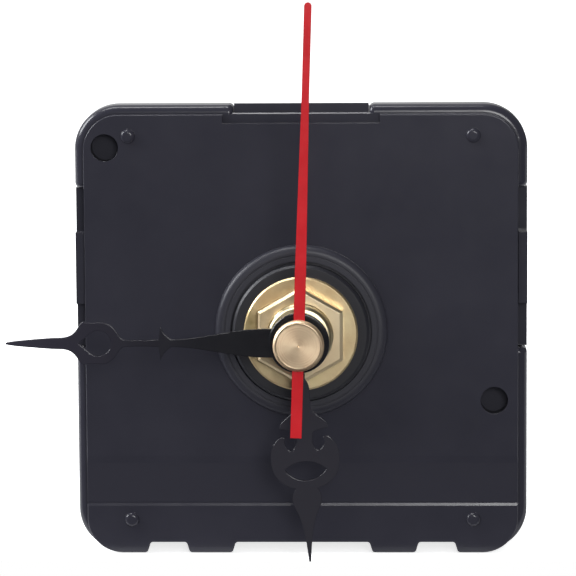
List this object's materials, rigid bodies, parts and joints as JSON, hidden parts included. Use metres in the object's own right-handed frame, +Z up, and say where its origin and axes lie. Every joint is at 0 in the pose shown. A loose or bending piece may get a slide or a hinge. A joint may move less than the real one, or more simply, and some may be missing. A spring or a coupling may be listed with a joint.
{
  "type": "quartz clock movement",
  "caption": "Square quartz clock movement with spade hour and minute hands, a long slim red second hand, a threaded brass bush with nut and washers, and a battery bay at the back.",
  "frame": {"origin": "on the hand shaft's axis, in the plane of the case's dial face", "axes": "-Y out of the dial face, towards whoever reads the clock; +Z up towards 12 o'clock; +X right as seen from the dial side"},
  "size_m": [0.0636, 0.0299, 0.0693],
  "materials": {
    "front_plastic": "satin, fine grain",
    "back_plastic": "satin",
    "frame_plastic": "satin",
    "bush_brass": "turned",
    "washer_rubber": "matte",
    "washer_brass": "stamped, bright",
    "nut_brass": "turned, bright",
    "pipe_plastic": "smooth",
    "hand_black": "gloss black",
    "pipe_brass": "turned",
    "spring_bronze": "rolled",
    "gear_white": "smooth",
    "knob_plastic": "satin",
    "arbor_steel": "polished",
    "hand_red": "gloss red",
    "cap_brass": "turned, fine rings",
    "magnet": "ground",
    "motor_steel": "punched",
    "bobbin_plastic": "moulded",
    "winding_copper": "wound enamelled wire",
    "board_laminate": "lacquered",
    "chip_resin": "poured resin",
    "can_steel": "drawn",
    "contact_nickel": "nickel plated"
  },
  "bodies": {
    "case": {"front_case": "front_plastic", "back_case": "back_plastic", "middle_plate": "frame_plastic", "train_bridge": "frame_plastic", "centre_bush": "bush_brass", "rubber_washer": "washer_rubber", "brass_washer": "washer_brass", "hex_nut": "nut_brass", "stator": "motor_steel", "coil_core": "motor_steel", "coil_bobbin": "bobbin_plastic", "coil_winding": "winding_copper", "circuit_board": "board_laminate", "chip_cover": "chip_resin", "crystal_can": "can_steel", "contact_positive": "contact_nickel", "contact_negative": "contact_nickel"},
    "second_train": {"second_arbor": "arbor_steel", "second_wheel": "gear_white", "second_hand": "hand_red", "second_cap": "cap_brass"},
    "third_train": {"third_wheel": "gear_white", "third_arbor": "arbor_steel"},
    "step_train": {"step_wheel": "gear_white", "step_arbor": "arbor_steel"},
    "rotor": {"rotor_pinion": "gear_white", "rotor_arbor": "arbor_steel", "rotor_magnet": "magnet"},
    "centre_train": {"centre_wheel": "gear_white"},
    "minute_train": {"minute_pipe": "pipe_brass", "minute_hand": "hand_black", "clutch_spring": "spring_bronze"},
    "hour_train": {"hour_wheel": "pipe_plastic", "hour_hand": "hand_black"},
    "motion_train": {"motion_wheel": "gear_white", "setting_knob": "knob_plastic"}
  },
  "joints": [
    {"name": "second_spin", "type": "hinge", "parent": "case", "child": "second_train", "pos_m": [0, 0, 0], "axis": [0, 1, 0], "continuous": true},
    {"name": "third_spin", "type": "hinge", "parent": "case", "child": "third_train", "pos_m": [0, 0, 0.00918], "axis": [0, 1, 0], "continuous": true},
    {"name": "step_spin", "type": "hinge", "parent": "case", "child": "step_train", "pos_m": [-0.0091, 0, 0], "axis": [0, 1, 0], "continuous": true},
    {"name": "rotor_spin", "type": "hinge", "parent": "case", "child": "rotor", "pos_m": [-0.0139, 0, 0], "axis": [0, 1, 0], "continuous": true},
    {"name": "centre_spin", "type": "hinge", "parent": "case", "child": "centre_train", "pos_m": [0, 0, 0], "axis": [0, 1, 0], "continuous": true},
    {"name": "minute_spin", "type": "hinge", "parent": "case", "child": "minute_train", "pos_m": [0, 0, 0], "axis": [0, 1, 0], "continuous": true},
    {"name": "hour_spin", "type": "hinge", "parent": "case", "child": "hour_train", "pos_m": [0, 0, 0], "axis": [0, 1, 0], "continuous": true},
    {"name": "motion_spin", "type": "hinge", "parent": "case", "child": "motion_train", "pos_m": [0.0096, 0, 0], "axis": [0, 1, 0], "continuous": true}
  ],
  "couplings": [
    {"joint": "third_spin", "follows": "second_spin", "ratio": -0.13333},
    {"joint": "step_spin", "follows": "second_spin", "ratio": -6},
    {"joint": "rotor_spin", "follows": "second_spin", "ratio": 30},
    {"joint": "centre_spin", "follows": "second_spin", "ratio": 0.016667},
    {"joint": "motion_spin", "follows": "minute_spin", "ratio": -0.33333},
    {"joint": "hour_spin", "follows": "minute_spin", "ratio": 0.083333}
  ]
}
